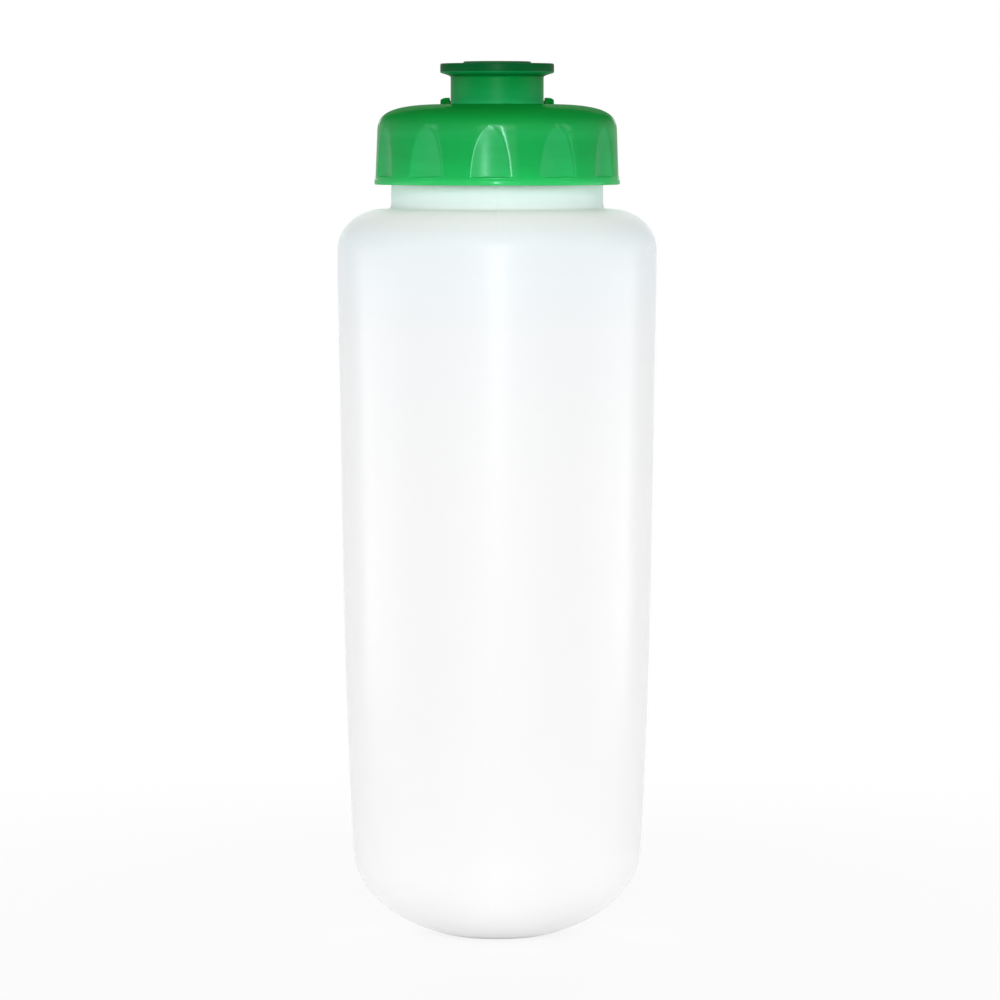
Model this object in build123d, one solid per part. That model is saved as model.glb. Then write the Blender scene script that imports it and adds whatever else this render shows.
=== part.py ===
from build123d import *
from math import asin, degrees, pi, sqrt
import os

# Squeeze bottle with a screw cap and a hinged flip lid.
# Millimetres. Origin at the centre of the foot, +Z up, the lid's hinge towards +Y.

# ---------------------------------------------------------------- bottle
foot_radius = 12.5           # outer edge of the ring the bottle stands on
foot_ring_width = 2.2
foot_recess = 1.2            # height of the pushed-up base inside the ring
heel_depth = 22.5            # half height of the ellipsoid that shapes the heel
body_radius = 39.15          # widest, just under the shoulder
heel_inset = 3.7             # how much narrower the body is where the round heel ends
lower_wall_inset = 2.15
middle_wall_inset = 0.85
lower_wall_rise = 34.0       # above the heel
middle_wall_rise = 92.0
widest_drop = 8.8            # widest station, below the start of the shoulder
wall_height = 147.8          # heel to the start of the shoulder
shoulder_rise = 9.8
shoulder_flat_width = 1.7    # level ring between the shoulder's curve and the neck
neck_radius = 26.0
neck_root_bevel = 0.5
neck_height = 19.85          # shoulder to the sealing lip
body_wall = 1.2
base_wall = 1.6
neck_wall = 1.8

# ---------------------------------------------------------------- thread, shared by neck and cap
thread_pitch = 4.2
thread_turns = 1.5
thread_depth = 1.2
thread_root_width = 1.9
thread_crest_width = 0.8
thread_lead_in = 1.7         # sealing lip down to the middle of the ridge's upper end
thread_root_overlap = 0.3    # how far a ridge is rooted in its wall
thread_tip_gap = 0.5         # neck's crest to the cap's bore
thread_flank_gap = 0.4       # measured along the axis

# ---------------------------------------------------------------- screw cap
liner_thickness = 1.2
liner_width = 2.4
liner_overhang = 0.4         # past the neck's outside
liner_side_gap = 0.3
cap_height = 19.7
crown_over_seat = 4.6        # sealing seat up to the top of the crown
crown_wall = 1.9
crown_flat_margin = 0.9      # level part of the crown, past the lid's tube
crown_corner_height = 7.15   # top of the crown down to the straight skirt
crown_top_fullness = 0.91    # 1 would carry the crown level right out to the skirt
crown_side_fullness = 0.6    # 1 would carry the skirt upright to the crown's height
seat_land_margin = 0.5       # seat inside the liner's inner edge
seat_corner = 1.5
skirt_top_wall = 1.72
skirt_bottom_wall = 2.16
lip_projection = 0.24
lip_height = 1.0
lip_flare = 0.6
flute_count = 11
flute_phase = -3.3           # degrees that the front flute is turned from straight ahead
flute_depth = 0.95
flute_radius = 22.0
flute_lean = 0.6             # degrees that a flute leans out towards its top
flute_floor_rise = 2.0       # bottom of the cap up to the ledge under a flute

# ---------------------------------------------------------------- spout and valve
spout_bore = 5.2             # radius
spout_wall = 1.1
spout_base_flare = 0.6
spout_height = 5.4
spout_mouth_chamfer = 0.4
valve_flange_width = 2.2     # past the spout's bore
valve_flange_thickness = 1.2
valve_wall = 0.6
valve_rise = 1.1             # valve head above its flange
valve_dish = 0.7
valve_slit_length = 6.0
valve_slit_width = 0.15
valve_side_gap = 0.2
valve_seat_drop = 0.3        # seat below the crown's underside
retainer_height = 2.4
retainer_bore_inset = 0.3    # inside the spout's bore
retainer_gap = 0.05
bead_rise = 0.3              # snap bead on the retainer
bead_bevel = 0.1
bead_height = 1.0
pocket_wall = 1.6
pocket_lip = 0.4             # pocket rim below the retainer

# ---------------------------------------------------------------- flip lid
lid_rest_gap = 0.1
lid_tube_radius = 11.6
lid_tube_wall = 1.3
lid_tube_height = 6.75
flange_overhang = 2.55       # past the tube
flange_thickness = 1.95
flange_cone_height = 1.15
flange_cone_inset = 0.5      # cone's foot outside the tube
flange_edge_radius = 0.3
lid_top_wall = 2.0

# ---------------------------------------------------------------- plug in the lid
plug_head_radius = 8.3
plug_head_rise = 0.5         # above the lid
plug_head_seat = 0.7         # sunk into the lid
plug_stem_radius = 2.5
plug_fit = 0.05
plug_collar_overhang = 0.7   # past the spout's bore
plug_collar_gap = 0.2        # collar over the spout's rim
plug_tip_gap = 0.2           # in the spout's bore
plug_tip_taper = 0.9
plug_tip_length = 2.0

# ---------------------------------------------------------------- hinge
hinge_behind_tube = 2.7      # lid tube's wall to the pin's axis
hinge_rise = 0.4             # pin's axis above the crown
pin_radius = 0.6
pin_fit = 0.05
pin_end_inset = 0.1
pin_end_bevel = 0.15
knuckle_radius = 1.2
knuckle_side_gap = 0.3
knuckle_bed_gap = 0.15
hinge_web_half_width = 8.5
ear_clear_of_tube = 0.1
ear_width = 2.45
ear_radius = 1.25
ear_corner_radius = 0.9
ear_root_depth = 1.3

cutter_overshoot = 1.0       # how far a cutting tool runs past the face it leaves

# ---------------------------------------------------------------- levels and radii that follow
heel_radius = body_radius - heel_inset
heel_height = heel_depth * sqrt(1 - (foot_radius / heel_radius) ** 2)
shoulder_start = heel_height + wall_height
widest_height = shoulder_start - widest_drop
shoulder_inner_radius = neck_radius + shoulder_flat_width
shoulder_top = shoulder_start + shoulder_rise
neck_top = shoulder_top + neck_height
neck_bore = neck_radius - neck_wall
neck_crest = neck_radius + thread_depth

cap_bore = neck_crest + thread_tip_gap
cap_crest = cap_bore - thread_depth
skirt_top_radius = cap_bore + skirt_top_wall
skirt_bottom_radius = cap_bore + skirt_bottom_wall
lip_radius = skirt_bottom_radius + lip_projection
seat_height = neck_top + liner_thickness
crown_top = seat_height + crown_over_seat
crown_underside = crown_top - crown_wall
cap_bottom = crown_top - cap_height
skirt_top = crown_top - crown_corner_height
flute_floor = cap_bottom + flute_floor_rise
liner_radius = neck_radius + liner_overhang
seat_edge = liner_radius + liner_side_gap
seat_inner = liner_radius - liner_width - seat_land_margin

valve_seat = crown_underside - valve_seat_drop
valve_bottom = valve_seat - valve_flange_thickness
valve_head_top = valve_seat + valve_rise
valve_flange_radius = spout_bore + valve_flange_width
pocket_radius = valve_flange_radius + valve_side_gap
retainer_bore = spout_bore - retainer_bore_inset
retainer_radius = pocket_radius - retainer_gap
retainer_bottom = valve_bottom - retainer_height
pocket_bottom = retainer_bottom - pocket_lip
bead_bottom = valve_bottom - (retainer_height + bead_height) / 2
spout_radius = spout_bore + spout_wall
spout_top = crown_top + spout_height

lid_bottom = crown_top + lid_rest_gap
lid_tube_bore = lid_tube_radius - lid_tube_wall
flange_radius = lid_tube_radius + flange_overhang
crown_flat_radius = lid_tube_radius + crown_flat_margin
cone_foot = lid_bottom + lid_tube_height
flange_bottom = cone_foot + flange_cone_height
lid_top = flange_bottom + flange_thickness
lid_ceiling = lid_top - lid_top_wall
plug_seat = lid_top - plug_head_seat
collar_bottom = spout_top + plug_collar_gap
plug_collar_radius = spout_bore + plug_collar_overhang
plug_tip_top_radius = spout_bore - plug_tip_gap
plug_tip_bottom_radius = plug_tip_top_radius - plug_tip_taper

hinge_y = lid_tube_radius + hinge_behind_tube
hinge_z = crown_top + hinge_rise
ear_inner_x = lid_tube_radius + ear_clear_of_tube
ear_outer_x = ear_inner_x + ear_width
knuckle_half_length = ear_inner_x - knuckle_side_gap
pin_half_length = ear_outer_x - pin_end_inset


def turned(*lines):
    """Solid turned about Z from the half outline that the lines close."""
    return revolve(Plane.XZ * make_face(Curve() + list(lines)), Axis.Z)


def turned_polygon(*points):
    """Solid turned about Z from the half outline with these (radius, height) corners."""
    return turned(Polyline(*points, close=True))


def ring(outer, inner, bottom, height):
    """Flat washer-like ring."""
    top = bottom + height
    return turned_polygon((inner, bottom), (outer, bottom), (outer, top), (inner, top))


def body_shape(inset, floor, neck_side):
    """Solid form of the bottle, drawn in by the inset, with a flat floor and a plain neck."""
    heel_a = heel_radius - inset
    heel_b = heel_depth - inset
    floor_angle = degrees(asin((heel_height - floor) / heel_b))
    floor_radius = heel_a * sqrt(1 - ((heel_height - floor) / heel_b) ** 2)
    shoulder_a = body_radius - shoulder_inner_radius - inset
    shoulder_b = shoulder_rise - inset
    level = shoulder_start + shoulder_b
    wall = Spline(
        (heel_a, heel_height),
        (body_radius - lower_wall_inset - inset, heel_height + lower_wall_rise),
        (body_radius - middle_wall_inset - inset, heel_height + middle_wall_rise),
        (body_radius - inset, widest_height),
    )
    return turned(
        Line((0, floor), (floor_radius, floor)),
        EllipticalCenterArc((0, heel_height), heel_a, heel_b, -floor_angle, arc_size=floor_angle),
        wall,
        Line((body_radius - inset, widest_height), (body_radius - inset, shoulder_start)),
        EllipticalCenterArc((shoulder_inner_radius, shoulder_start), shoulder_a, shoulder_b, 0, arc_size=90),
        Polyline(
            (shoulder_inner_radius, level),
            (neck_side + neck_root_bevel, level),
            (neck_side, level + neck_root_bevel),
            (neck_side, neck_top),
            (0, neck_top),
            (0, floor),
        ),
    )


def thread_ridge(wall_radius, outward, start_height):
    """One right-handed thread ridge on a wall; outward is +1 on the neck and -1 in the cap."""
    helix = Helix(thread_pitch, thread_turns * thread_pitch, wall_radius)
    root = -outward * thread_root_overlap
    crest = outward * thread_depth
    profile = Polygon(
        (root, -thread_root_width / 2),
        (crest, -thread_crest_width / 2),
        (crest, thread_crest_width / 2),
        (root, thread_root_width / 2),
        align=None,
    )
    section = Plane(origin=helix @ 0, x_dir=(1, 0, 0), z_dir=-(helix % 0)) * profile
    return Pos(0, 0, start_height) * sweep(section, path=helix, is_frenet=True)


def neck_thread_start():
    return neck_top - thread_lead_in - thread_turns * thread_pitch


def cap_thread_start():
    """The cap's ridge runs under the neck's ridge, a flank gap away."""
    overlap = neck_crest - cap_crest
    taper = (thread_root_width - thread_crest_width) / 2 / (thread_depth + thread_root_overlap)
    width_there = thread_crest_width + taper * overlap
    return neck_thread_start() - width_there - thread_flank_gap


def bottle():
    """Blow-moulded bottle with its neck thread."""
    outside = body_shape(0, 0, neck_radius)
    inside = body_shape(body_wall, foot_recess + base_wall, neck_bore)
    recess_radius = foot_radius - foot_ring_width
    recess = Cylinder(recess_radius, foot_recess, align=(Align.CENTER, Align.CENTER, Align.MIN))
    shell = outside - inside - recess
    return shell + thread_ridge(neck_radius, 1, neck_thread_start())


def cap_liner():
    """Flat sealing ring between the neck's lip and the cap's seat."""
    return ring(liner_radius, liner_radius - liner_width, neck_top, liner_thickness)


def cap_outside():
    """Outer form of the cap: flared lip, skirt and domed crown."""
    crown_start = (crown_flat_radius, crown_top)
    crown_end = (skirt_top_radius, skirt_top)
    side_pull = crown_side_fullness * crown_corner_height
    top_pull = crown_top_fullness * (skirt_top_radius - crown_flat_radius)
    return turned(
        Polyline(
            crown_start,
            (0, crown_top),
            (0, cap_bottom),
            (lip_radius, cap_bottom),
            (lip_radius, cap_bottom + lip_height),
            (skirt_bottom_radius, cap_bottom + lip_height + lip_flare),
            crown_end,
        ),
        Bezier(
            crown_end,
            (skirt_top_radius, skirt_top + side_pull),
            (crown_flat_radius + top_pull, crown_top),
            crown_start,
        ),
    )


def cap_inside():
    """Hollow of the cap: threaded bore, seat for the liner, and the space under the crown."""
    return turned_polygon(
        (0, cap_bottom),
        (cap_bore, cap_bottom),
        (cap_bore, seat_height - seat_corner),
        (seat_edge, seat_height),
        (seat_inner, seat_height),
        (seat_inner, crown_underside),
        (0, crown_underside),
    )


def flute_cutter():
    """Tool that scoops one flute out of the front of the skirt, down to a level ledge."""
    axis_y = -(skirt_bottom_radius - flute_depth + flute_radius)
    tool = Pos(0, axis_y, flute_floor) * Rot(flute_lean, 0, 0) * Cylinder(flute_radius, 2 * cap_height)
    return split(tool, Plane.XY.offset(flute_floor))


def spout_and_pocket():
    """Spout on top of the crown and the pocket wall for the valve under it."""
    spout = turned_polygon(
        (0, crown_underside),
        (spout_radius + spout_base_flare, crown_underside),
        (spout_radius + spout_base_flare, crown_top),
        (spout_radius, spout_top),
        (0, spout_top),
    )
    pocket = Pos(0, 0, pocket_bottom) * Cylinder(
        pocket_radius + pocket_wall,
        crown_top - pocket_bottom,
        align=(Align.CENTER, Align.CENTER, Align.MIN),
    )
    return spout + pocket


def spout_bores():
    """Everything bored out for the valve, its retainer and the spout's passage."""
    return turned_polygon(
        (0, pocket_bottom - cutter_overshoot),
        (pocket_radius, pocket_bottom - cutter_overshoot),
        (pocket_radius, bead_bottom),
        (pocket_radius + bead_rise, bead_bottom),
        (pocket_radius + bead_rise, bead_bottom + bead_height),
        (pocket_radius, bead_bottom + bead_height),
        (pocket_radius, valve_seat),
        (spout_bore, valve_seat),
        (spout_bore, spout_top - spout_mouth_chamfer),
        (spout_bore + spout_mouth_chamfer, spout_top),
        (spout_bore + spout_mouth_chamfer, spout_top + cutter_overshoot),
        (0, spout_top + cutter_overshoot),
    )


def hinge_ear(side):
    """One of the two ears that hold the hinge pin; side is -1 or +1."""
    lug = Circle(ear_radius) + Pos(0, -ear_root_depth / 2) * Rectangle(2 * ear_radius, ear_root_depth)
    ear = extrude(Plane.YZ * lug, ear_width)
    outer_edges = ear.faces().sort_by(Axis.X)[-1].edges().filter_by(GeomType.CIRCLE)
    ear = fillet(outer_edges, ear_corner_radius)
    ear = Pos(ear_inner_x, hinge_y, hinge_z) * ear
    return ear if side > 0 else mirror(ear, Plane.YZ)


def bar_along_x(radius, half_length):
    """Round bar on the hinge axis."""
    return Pos(0, hinge_y, hinge_z) * Rot(0, 90, 0) * Cylinder(radius, 2 * half_length)


def screw_cap():
    """Moulded cap: skirt, crown, thread, spout, valve pocket and hinge ears."""
    cap = cap_outside() - cap_inside()
    for index in range(flute_count):
        cap -= Rot(0, 0, flute_phase + index * 360 / flute_count) * flute_cutter()
    cap += thread_ridge(cap_bore, -1, cap_thread_start())
    cap += spout_and_pocket()
    cap -= spout_bores()
    cap -= bar_along_x(knuckle_radius + knuckle_bed_gap, ear_inner_x)
    cap += [hinge_ear(side) for side in (-1, 1)]
    return cap - bar_along_x(pin_radius + pin_fit, ear_outer_x)


def dispensing_valve():
    """Silicone valve: a flange, a short sleeve and a dished head with a cross slit."""
    sleeve = spout_bore - valve_side_gap
    under_head = valve_head_top - valve_wall
    body = turned_polygon(
        (sleeve - valve_wall, valve_bottom),
        (valve_flange_radius, valve_bottom),
        (valve_flange_radius, valve_seat),
        (sleeve, valve_seat),
        (sleeve, valve_head_top),
        (0, valve_head_top - valve_dish),
        (0, under_head - valve_dish),
        (sleeve - valve_wall, under_head),
    )
    slit_height = 2 * (valve_dish + valve_wall + cutter_overshoot)
    slit = Pos(0, 0, valve_head_top) * Box(valve_slit_length, valve_slit_width, slit_height)
    return body - slit - Rot(0, 0, 90) * slit


def valve_retainer():
    """Ring that snaps into the pocket and holds the valve's flange up."""
    return turned_polygon(
        (retainer_bore, retainer_bottom),
        (retainer_radius, retainer_bottom),
        (retainer_radius, bead_bottom + retainer_gap),
        (retainer_radius + bead_rise, bead_bottom + retainer_gap + bead_bevel),
        (retainer_radius + bead_rise, bead_bottom + bead_height - retainer_gap - bead_bevel),
        (retainer_radius, bead_bottom + bead_height - retainer_gap),
        (retainer_radius, valve_bottom),
        (retainer_bore, valve_bottom),
    )


def hinge_pin():
    """Plain pin through the ears and the lid's knuckle."""
    pin = bar_along_x(pin_radius, pin_half_length)
    return chamfer(pin.edges(), pin_end_bevel)


def flip_lid():
    """Flip lid: tube, coned flange, and the knuckle that turns on the pin."""
    lid = turned_polygon(
        (0, lid_bottom),
        (lid_tube_radius, lid_bottom),
        (lid_tube_radius, cone_foot - flange_cone_inset),
        (lid_tube_radius + flange_cone_inset, cone_foot),
        (flange_radius, flange_bottom),
        (flange_radius, lid_top),
        (0, lid_top),
    )
    rim_edges = lid.edges().filter_by(GeomType.CIRCLE).group_by(SortBy.RADIUS)[-1]
    lid = fillet(rim_edges, flange_edge_radius)
    web_top = hinge_z + knuckle_radius
    web = Pos(0, hinge_y / 2, (lid_bottom + web_top) / 2) * Box(
        2 * hinge_web_half_width, hinge_y, web_top - lid_bottom
    )
    lid += web
    lid += bar_along_x(knuckle_radius, knuckle_half_length)
    lid -= bar_along_x(pin_radius + pin_fit, ear_outer_x)
    lid -= Pos(0, 0, lid_ceiling) * Cylinder(
        lid_tube_bore,
        lid_ceiling - lid_bottom + cutter_overshoot,
        align=(Align.CENTER, Align.CENTER, Align.MAX),
    )
    head_pocket = Pos(0, 0, plug_seat) * Cylinder(
        plug_head_radius + plug_fit,
        plug_head_seat + cutter_overshoot,
        align=(Align.CENTER, Align.CENTER, Align.MIN),
    )
    stem_hole = Pos(0, 0, lid_ceiling) * Cylinder(plug_stem_radius + plug_fit, 2 * lid_top_wall)
    return lid - head_pocket - stem_hole


def lid_plug():
    """Soft plug: the head lies on the lid, the stem passes through it, the tip closes the spout."""
    return turned_polygon(
        (0, collar_bottom - plug_tip_length),
        (plug_tip_bottom_radius, collar_bottom - plug_tip_length),
        (plug_tip_top_radius, collar_bottom),
        (plug_collar_radius, collar_bottom),
        (plug_collar_radius, lid_ceiling),
        (plug_stem_radius, lid_ceiling),
        (plug_stem_radius, plug_seat),
        (plug_head_radius, plug_seat),
        (plug_head_radius, lid_top + plug_head_rise),
        (0, lid_top + plug_head_rise),
    )


pieces = {
    "bottle": bottle,
    "cap_liner": cap_liner,
    "screw_cap": screw_cap,
    "dispensing_valve": dispensing_valve,
    "valve_retainer": valve_retainer,
    "hinge_pin": hinge_pin,
    "flip_lid": flip_lid,
    "lid_plug": lid_plug,
}

os.makedirs("parts", exist_ok=True)
for name, make in pieces.items():
    export_step(make(), f"parts/{name}.step")

print("hinge axis y, z:", round(hinge_y, 3), round(hinge_z, 3))
print("lift per radian in metres:", thread_pitch / (2 * pi) / 1000)
print("neck top, cap bottom, crown top, lid top:", neck_top, cap_bottom, crown_top, lid_top)
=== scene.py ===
from math import acos, asin, atan2, cos, degrees, hypot, pi, radians, sin, sqrt

import bpy
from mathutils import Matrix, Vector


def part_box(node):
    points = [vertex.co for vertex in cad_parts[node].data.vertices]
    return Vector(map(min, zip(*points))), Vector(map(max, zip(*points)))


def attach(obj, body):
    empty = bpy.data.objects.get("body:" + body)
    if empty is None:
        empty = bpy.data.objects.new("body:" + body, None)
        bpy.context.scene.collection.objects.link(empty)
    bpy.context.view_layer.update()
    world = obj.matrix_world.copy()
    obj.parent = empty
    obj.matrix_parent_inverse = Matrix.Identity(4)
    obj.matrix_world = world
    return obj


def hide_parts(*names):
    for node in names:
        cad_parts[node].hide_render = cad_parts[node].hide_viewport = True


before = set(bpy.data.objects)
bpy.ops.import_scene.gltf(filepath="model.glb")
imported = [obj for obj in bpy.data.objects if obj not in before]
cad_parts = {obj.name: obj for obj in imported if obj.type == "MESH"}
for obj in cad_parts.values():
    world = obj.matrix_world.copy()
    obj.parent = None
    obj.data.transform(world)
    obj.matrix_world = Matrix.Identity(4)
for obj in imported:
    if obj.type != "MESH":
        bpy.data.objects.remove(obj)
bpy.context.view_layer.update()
mm = 0.001

# ------------------------------------------------------------------ bottle
# One blow-moulded bottle in natural polyethylene, milky and satin, open at its threaded neck.
# The two halves of its mould leave a fine parting line down the front and the back.

lip_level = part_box("bottle")[1].z
body_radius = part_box("bottle")[1].x
body_wall = 1.2 * mm
base_wall = 1.6 * mm
foot_radius = 12.5 * mm
foot_ring_width = 2.2 * mm
foot_recess = 1.2 * mm
heel_depth = 22.5 * mm
heel_radius = body_radius - 3.7 * mm
heel_level = heel_depth * sqrt(1 - (foot_radius / heel_radius) ** 2)
shoulder_level = heel_level + 147.8 * mm
shoulder_rise = 9.8 * mm
neck_radius = 26.0 * mm
neck_wall = 1.8 * mm
neck_foot = shoulder_level + shoulder_rise
shoulder_inner_radius = neck_radius + 1.7 * mm
wall_stations = [
    (heel_level, heel_radius),
    (heel_level + 34.0 * mm, body_radius - 2.15 * mm),
    (heel_level + 92.0 * mm, body_radius - 0.85 * mm),
    (shoulder_level - 8.8 * mm, body_radius),
]
bottle_columns = 192
wall_rows = 40
curve_steps = 24


def rounded(*corners, steps=4):
    """Outline through (radius, height, rounding) corners, each rounded by a curve of that size."""
    outline = []
    for index, (radius, height, rounding) in enumerate(corners):
        if rounding == 0:
            outline.append((radius, height))
            continue
        before = corners[index - 1]
        after = corners[(index + 1) % len(corners)]
        ends = []
        for other in (before, after):
            reach = hypot(other[0] - radius, other[1] - height)
            share = min(rounding / reach, 0.5)
            ends.append((radius + share * (other[0] - radius), height + share * (other[1] - height)))
        for step in range(steps + 1):
            t = step / steps
            outline.append(tuple(
                (1 - t) ** 2 * first + 2 * t * (1 - t) * corner + t**2 * last
                for first, corner, last in zip(ends[0], (radius, height), ends[1])
            ))
    return outline


def arc(centre, radii, first, last, steps):
    """Points on an ellipse's arc in the (radius, height) plane, between two angles in degrees."""
    angles = [radians(first + (last - first) * step / steps) for step in range(steps + 1)]
    return [(centre[0] + radii[0] * cos(angle), centre[1] + radii[1] * sin(angle)) for angle in angles]


def pick(piece):
    """Make a piece the active one, and the only one selected."""
    bpy.ops.object.select_all(action="DESELECT")
    bpy.context.view_layer.objects.active = piece
    piece.select_set(True)


def edit(piece):
    """Edit mode on one piece, with all of its mesh selected."""
    pick(piece)
    bpy.ops.object.mode_set(mode="EDIT")
    bpy.ops.mesh.select_all(action="SELECT")


def turned(name, outline, columns):
    """Piece turned about Z: its outline is drawn point by point from one vertex, then spun and closed."""
    (radius, height), *rest = outline
    bpy.ops.object.select_all(action="DESELECT")
    bpy.ops.mesh.primitive_plane_add(size=mm)
    piece = bpy.context.object
    piece.name = piece.data.name = name
    edit(piece)
    bpy.ops.mesh.merge(type="CENTER")
    bpy.ops.transform.translate(value=(radius, 0, height))
    for next_radius, next_height in rest:
        bpy.ops.mesh.extrude_region_move(
            TRANSFORM_OT_translate={"value": (next_radius - radius, 0, next_height - height)}
        )
        radius, height = next_radius, next_height
    bpy.ops.mesh.select_all(action="SELECT")
    bpy.ops.mesh.spin(steps=columns, angle=2 * pi, center=(0, 0, 0), axis=(0, 0, 1))
    bpy.ops.mesh.select_all(action="SELECT")
    bpy.ops.mesh.remove_doubles(threshold=0.002 * mm)
    bpy.ops.mesh.normals_make_consistent(inside=False)
    bpy.ops.object.mode_set(mode="OBJECT")
    return piece


def wall_radius(height):
    """Radius of the body's side: the one smooth curve through its four stations."""
    total = 0
    for station, radius in wall_stations:
        for other, _ in wall_stations:
            if other != station:
                radius *= (height - other) / (station - other)
        total += radius
    return total


def shell_side(inset, floor):
    """Outline of the body from its floor up to the foot of the neck, drawn in by the inset."""
    heel = (heel_radius - inset, heel_depth - inset)
    shoulder = (body_radius - shoulder_inner_radius - inset, shoulder_rise - inset)
    bottom_angle = -degrees(asin((heel_level - floor) / heel[1]))
    side = wall_stations[-1][0] - heel_level
    heights = [heel_level + side * row / wall_rows for row in range(1, wall_rows + 1)]
    return (
        arc((0, heel_level), heel, bottom_angle, 0, curve_steps)
        + [(wall_radius(height) - inset, height) for height in heights]
        + arc((shoulder_inner_radius, shoulder_level), shoulder, 0, 90, curve_steps)
    )


outer_foot = rounded(
    (0, foot_recess, 0),
    (foot_radius - foot_ring_width, foot_recess, 0.4 * mm),
    (foot_radius - foot_ring_width, 0, 0.5 * mm),
    (foot_radius, 0, 0.4 * mm),
    (foot_radius + 1.5 * mm, 0.5 * mm, 0),
)[:-1]
neck_rows = 10
neck_row_height = 1.6 * mm
neck_first_row = neck_foot + 2.4 * mm
neck_outside = [(neck_radius, neck_first_row + row * neck_row_height) for row in range(neck_rows)]
lip = rounded(
    (neck_radius, lip_level - 1.0 * mm, 0),
    (neck_radius, lip_level, 0.35 * mm),
    (neck_radius - neck_wall, lip_level, 0.6 * mm),
    (neck_radius - neck_wall, neck_foot - 2 * mm, 0.8 * mm),
    (shoulder_inner_radius, neck_foot - body_wall, 0),
)
floor_level = foot_recess + base_wall
inside = shell_side(body_wall, floor_level)
neck_fillet = 1.6 * mm
bottle = turned(
    "milky_bottle",
    outer_foot
    + shell_side(0, 0)[1:]
    + rounded(
        (shoulder_inner_radius, neck_foot, 0),
        (neck_radius, neck_foot, neck_fillet),
        (neck_radius, neck_foot + 4 * mm, 0),
        steps=8,
    )[1:-1]
    + neck_outside
    + lip[:-1]
    + inside[::-1]
    + [(0, floor_level)],
    bottle_columns,
)

thread_pitch = 4.2 * mm
thread_turns = 1.5
thread_depth = 1.2 * mm
thread_root = 1.9 * mm
thread_crest = 0.8 * mm
thread_run_out = 0.06
thread_steps = 216
thread_root_overlap = 0.3 * mm
neck_thread_start = lip_level - 1.7 * mm - thread_turns * thread_pitch


def thread(name, wall, outward, start):
    """Right-hand thread ridge on a wall, outward +1 or -1: a section is screwed round, its ends run out."""
    root = wall - outward * thread_root_overlap
    crest = wall + outward * thread_depth
    corners = [
        (root, -thread_root / 2),
        (crest, -thread_crest / 2),
        (root, thread_root / 2),
        (crest, thread_crest / 2),
    ]
    bpy.ops.object.select_all(action="DESELECT")
    bpy.ops.mesh.primitive_plane_add(size=mm)
    ridge = bpy.context.object
    ridge.name = ridge.data.name = name
    for vertex, (radius, height) in zip(ridge.data.vertices, corners):
        vertex.co = (radius, 0, start + height)
    edit(ridge)
    bpy.ops.mesh.delete(type="ONLY_FACE")
    bpy.ops.object.mode_set(mode="OBJECT")
    screw = ridge.modifiers.new("screw", "SCREW")
    screw.angle = thread_turns * 2 * pi
    screw.screw_offset = thread_turns * thread_pitch
    screw.steps = screw.render_steps = thread_steps
    screw.use_merge_vertices = False
    bpy.ops.object.modifier_apply(modifier=screw.name)
    edit(ridge)
    bpy.ops.mesh.fill_holes(sides=4)
    bpy.ops.mesh.normals_make_consistent(inside=False)
    bpy.ops.object.mode_set(mode="OBJECT")
    for vertex in ridge.data.vertices:
        x, y, height = vertex.co
        around = atan2(y, x) / (2 * pi)
        turn = around + round((height - start) / thread_pitch - around)
        fullness = min(1, max(0, min(turn, thread_turns - turn) / thread_run_out))
        radius = hypot(x, y)
        if (radius - wall) * outward > 0:
            shrunk = (wall + (radius - wall) * sqrt(fullness)) / radius
            vertex.co = (x * shrunk, y * shrunk, height)
    return ridge


def joined(piece, *others):
    """One piece made of several."""
    pick(piece)
    for other in others:
        other.select_set(True)
    bpy.ops.object.join()
    return piece


seam_width = 0.3 * mm
neck_seam_rise = 0.12 * mm
side_seam_rise = 0.02 * mm
seam_reach = 0.01 * mm
seam_foot_radius = 1.0 * mm
seam_lip_gap = 0.2 * mm
level_normal = 0.95


def smooth_step(value):
    """Smooth rise from 0 to 1."""
    value = min(1, max(0, value))
    return value * value * (3 - 2 * value)


def on_seam(vertex):
    """Whether a vertex of the bottle is outside, on its front or back line, and not on a level face."""
    x, y, height = vertex.co
    if abs(x) >= seam_reach or abs(y) <= seam_foot_radius or height >= lip_level - seam_lip_gap:
        return False
    faces_out = vertex.normal.y * y > 0 or height < foot_recess
    return faces_out and vertex.normal.z < level_normal


def raise_seam(piece):
    """Parting line: the edges down the outside are split by a bevel, and their middle is lifted."""
    edit(piece)
    bpy.ops.mesh.select_all(action="DESELECT")
    bpy.ops.object.mode_set(mode="OBJECT")
    mesh = piece.data
    outside = [on_seam(vertex) for vertex in mesh.vertices]
    for edge in mesh.edges:
        edge.select = all(outside[index] for index in edge.vertices)
    bpy.ops.object.mode_set(mode="EDIT")
    bpy.ops.mesh.select_mode(type="EDGE")
    bpy.ops.mesh.bevel(offset=seam_width, segments=2, affect="EDGES")
    bpy.ops.mesh.select_mode(type="VERT")
    bpy.ops.object.mode_set(mode="OBJECT")
    for vertex in mesh.vertices:
        if vertex.select and abs(vertex.co.x) < 2 * seam_reach:
            strong = smooth_step((vertex.co.z - shoulder_level) / shoulder_rise)
            rise = side_seam_rise + (neck_seam_rise - side_seam_rise) * strong
            x, y, height = vertex.co + vertex.normal * rise
            vertex.co = (x, min(body_radius, max(-body_radius, y)), max(0, height))


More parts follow.
